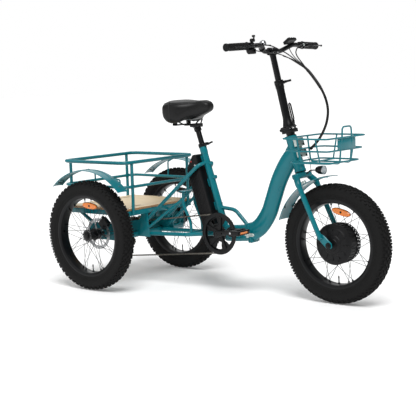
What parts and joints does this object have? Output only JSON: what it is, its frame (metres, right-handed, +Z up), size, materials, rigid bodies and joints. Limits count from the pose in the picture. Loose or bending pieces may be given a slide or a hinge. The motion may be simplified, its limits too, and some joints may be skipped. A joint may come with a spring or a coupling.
{
  "type": "adult cargo tricycle",
  "caption": "Adult electric cargo tricycle with a low folding frame, wide tyres, a plywood rear deck in a tubular tray, a wire front basket and a folding handlebar post.",
  "frame": {"origin": "on the ground, midway between the tyres' extreme points, in the middle of the track", "axes": "+X forward, +Y to the rider's left, +Z up"},
  "size_m": [1.802, 0.77, 1.2373],
  "materials": {
    "teal_paint": "gloss",
    "black_metal": "satin",
    "black_plastic": "matte",
    "tyre": "matte",
    "black_rubber": "matte",
    "silver": "satin",
    "steel": "brushed",
    "chain_steel": "satin",
    "plywood": "satin",
    "saddle_cover": "satin"
  },
  "bodies": {
    "rear_frame": {"rear_frame": "teal_paint", "rear_carrier": "teal_paint", "cargo_deck": "plywood", "cargo_tray": "teal_paint", "rear_right_mudguard": "teal_paint", "rear_left_mudguard": "teal_paint", "seat_clamp": "black_metal", "rear_right_caliper": "black_metal", "rear_left_caliper": "black_metal", "chain": "chain_steel", "derailleur": "black_metal"},
    "battery": {"battery": "black_plastic"},
    "seat": {"seat_post": "black_metal", "saddle_rails": "black_metal", "saddle": "saddle_cover"},
    "seat_clamp_lever": {"seat_clamp_lever": "black_metal"},
    "crankset": {"chainring": "black_metal", "crank_arm_right": "black_metal", "crank_arm_left": "black_metal"},
    "pedal_right": {"pedal_right": "black_plastic"},
    "pedal_left": {"pedal_left": "black_plastic"},
    "cassette": {"cassette": "black_metal"},
    "guide_pulley": {"guide_pulley": "black_plastic"},
    "tension_pulley": {"tension_pulley": "black_plastic"},
    "rear_right_wheel": {"rear_right_tyre": "tyre", "rear_right_rim": "black_metal", "rear_right_hub": "black_metal"},
    "rear_left_wheel": {"rear_left_tyre": "tyre", "rear_left_rim": "black_metal", "rear_left_hub": "black_metal"},
    "front_frame": {"front_frame": "teal_paint", "front_basket": "teal_paint", "basket_bracket": "silver"},
    "frame_latch": {"frame_latch": "silver"},
    "fork": {"fork": "teal_paint", "front_mudguard": "teal_paint", "headlight": "silver", "front_caliper": "black_metal", "post_base": "black_metal"},
    "front_wheel": {"front_tyre": "tyre", "front_rim": "black_metal", "front_hub_motor": "black_metal", "front_brake_disc": "steel"},
    "handlebar_post": {"handlebar_post": "black_metal", "post_clamp": "black_metal"},
    "post_latch": {"post_latch": "black_metal"},
    "post_clamp_lever": {"post_clamp_lever": "black_metal"},
    "handlebar": {"riser_tube": "black_metal", "handlebar": "black_metal", "grip_right": "black_rubber", "grip_left": "black_rubber", "brake_perch_right": "black_metal", "brake_perch_left": "black_metal", "bell": "silver", "display": "black_plastic", "cable_bundle": "black_rubber"},
    "brake_lever_right": {"brake_lever_right": "black_metal"},
    "brake_lever_left": {"brake_lever_left": "black_metal"},
    "shifter_lever": {"shifter_lever": "black_plastic"},
    "bell_lever": {"bell_lever": "black_plastic"}
  },
  "joints": [
    {"name": "battery_slide", "type": "slide", "parent": "rear_frame", "child": "battery", "axis": [-0.3107, 0, 0.9505], "range_m": [0, 0.1]},
    {"name": "seat_height", "type": "slide", "parent": "rear_frame", "child": "seat", "axis": [-0.3107, 0, 0.9505], "range_m": [-0.06, 0.06]},
    {"name": "seat_clamp_open", "type": "hinge", "parent": "rear_frame", "child": "seat_clamp_lever", "pos_m": [-0.13511, 0.016, 0.72065], "axis": [-0.3107, 0, 0.9505], "range_deg": [0, 90]},
    {"name": "crank_spin", "type": "hinge", "parent": "rear_frame", "child": "crankset", "pos_m": [-0.02, 0, 0.288], "axis": [0, 1, 0], "continuous": true},
    {"name": "pedal_right_spin", "type": "hinge", "parent": "crankset", "child": "pedal_right", "pos_m": [0.14742, -0.141, 0.31752], "axis": [0, 1, 0], "continuous": true},
    {"name": "pedal_left_spin", "type": "hinge", "parent": "crankset", "child": "pedal_left", "pos_m": [-0.18742, 0.141, 0.25848], "axis": [0, 1, 0], "continuous": true},
    {"name": "cassette_spin", "type": "hinge", "parent": "rear_frame", "child": "cassette", "pos_m": [-0.623, 0, 0.278], "axis": [0, 1, 0], "continuous": true},
    {"name": "guide_pulley_spin", "type": "hinge", "parent": "rear_frame", "child": "guide_pulley", "pos_m": [-0.615, -0.057, 0.208], "axis": [0, 1, 0], "continuous": true},
    {"name": "tension_pulley_spin", "type": "hinge", "parent": "rear_frame", "child": "tension_pulley", "pos_m": [-0.631, -0.057, 0.151], "axis": [0, 1, 0], "continuous": true},
    {"name": "rear_right_wheel_spin", "type": "hinge", "parent": "rear_frame", "child": "rear_right_wheel", "pos_m": [-0.623, -0.347, 0.278], "axis": [0, 1, 0], "continuous": true},
    {"name": "rear_left_wheel_spin", "type": "hinge", "parent": "rear_frame", "child": "rear_left_wheel", "pos_m": [-0.623, 0.347, 0.278], "axis": [0, 1, 0], "continuous": true},
    {"name": "frame_fold", "type": "hinge", "parent": "rear_frame", "child": "front_frame", "pos_m": [0.132, 0.044, 0.295], "axis": [0, 0, -1], "range_deg": [-110, 0]},
    {"name": "frame_latch_open", "type": "hinge", "parent": "front_frame", "child": "frame_latch", "pos_m": [0.144, -0.0475, 0.293], "axis": [0, 0, -1], "range_deg": [0, 90]},
    {"name": "steering", "type": "hinge", "parent": "front_frame", "child": "fork", "pos_m": [0.379, 0, 0.766], "axis": [0.294, 0, -0.9558], "range_deg": [-35, 35], "deforming": ["cable_bundle"]},
    {"name": "front_wheel_spin", "type": "hinge", "parent": "fork", "child": "front_wheel", "pos_m": [0.623, 0, 0.278], "axis": [0, 1, 0], "continuous": true},
    {"name": "post_fold", "type": "hinge", "parent": "fork", "child": "handlebar_post", "pos_m": [0.371, -0.035, 0.799], "axis": [0.9724, 0, 0.2334], "range_deg": [0, 90], "deforming": ["cable_bundle"]},
    {"name": "post_latch_open", "type": "hinge", "parent": "handlebar_post", "child": "post_latch", "pos_m": [0.3682, 0.04, 0.81067], "axis": [-0.9724, 0, -0.2334], "range_deg": [0, 100]},
    {"name": "post_clamp_open", "type": "hinge", "parent": "handlebar_post", "child": "post_clamp_lever", "pos_m": [0.33473, 0.027, 1.0186], "axis": [-0.2334, 0, 0.9724], "range_deg": [0, 90]},
    {"name": "handlebar_height", "type": "slide", "parent": "handlebar_post", "child": "handlebar", "axis": [-0.2334, 0, 0.9724], "range_m": [-0.08, 0.04], "deforming": ["cable_bundle"]},
    {"name": "brake_right_pull", "type": "hinge", "parent": "handlebar", "child": "brake_lever_right", "pos_m": [0.34012, -0.20668, 1.186], "axis": [0.0016, 0.03, -0.9995], "range_deg": [0, 8], "stiffness_Nm_per_rad": 0.6},
    {"name": "brake_left_pull", "type": "hinge", "parent": "handlebar", "child": "brake_lever_left", "pos_m": [0.34012, 0.20668, 1.186], "axis": [-0.0016, 0.03, 0.9995], "range_deg": [0, 8], "stiffness_Nm_per_rad": 0.6},
    {"name": "shifter_push", "type": "hinge", "parent": "handlebar", "child": "shifter_lever", "pos_m": [0.30846, -0.17346, 1.21196], "axis": [0.1045, 0.9941, 0.03], "range_deg": [0, 25], "stiffness_Nm_per_rad": 0.2},
    {"name": "bell_strike", "type": "hinge", "parent": "handlebar", "child": "bell_lever", "pos_m": [0.30815, -0.08397, 1.19048], "axis": [-0.069, 0.3784, 0.9231], "range_deg": [0, 20], "stiffness_Nm_per_rad": 0.05}
  ],
  "couplings": [
    {"joint": "cassette_spin", "follows": "crank_spin", "ratio": 3.4286},
    {"joint": "guide_pulley_spin", "follows": "crank_spin", "ratio": -4.3636},
    {"joint": "tension_pulley_spin", "follows": "crank_spin", "ratio": 4.3636}
  ]
}
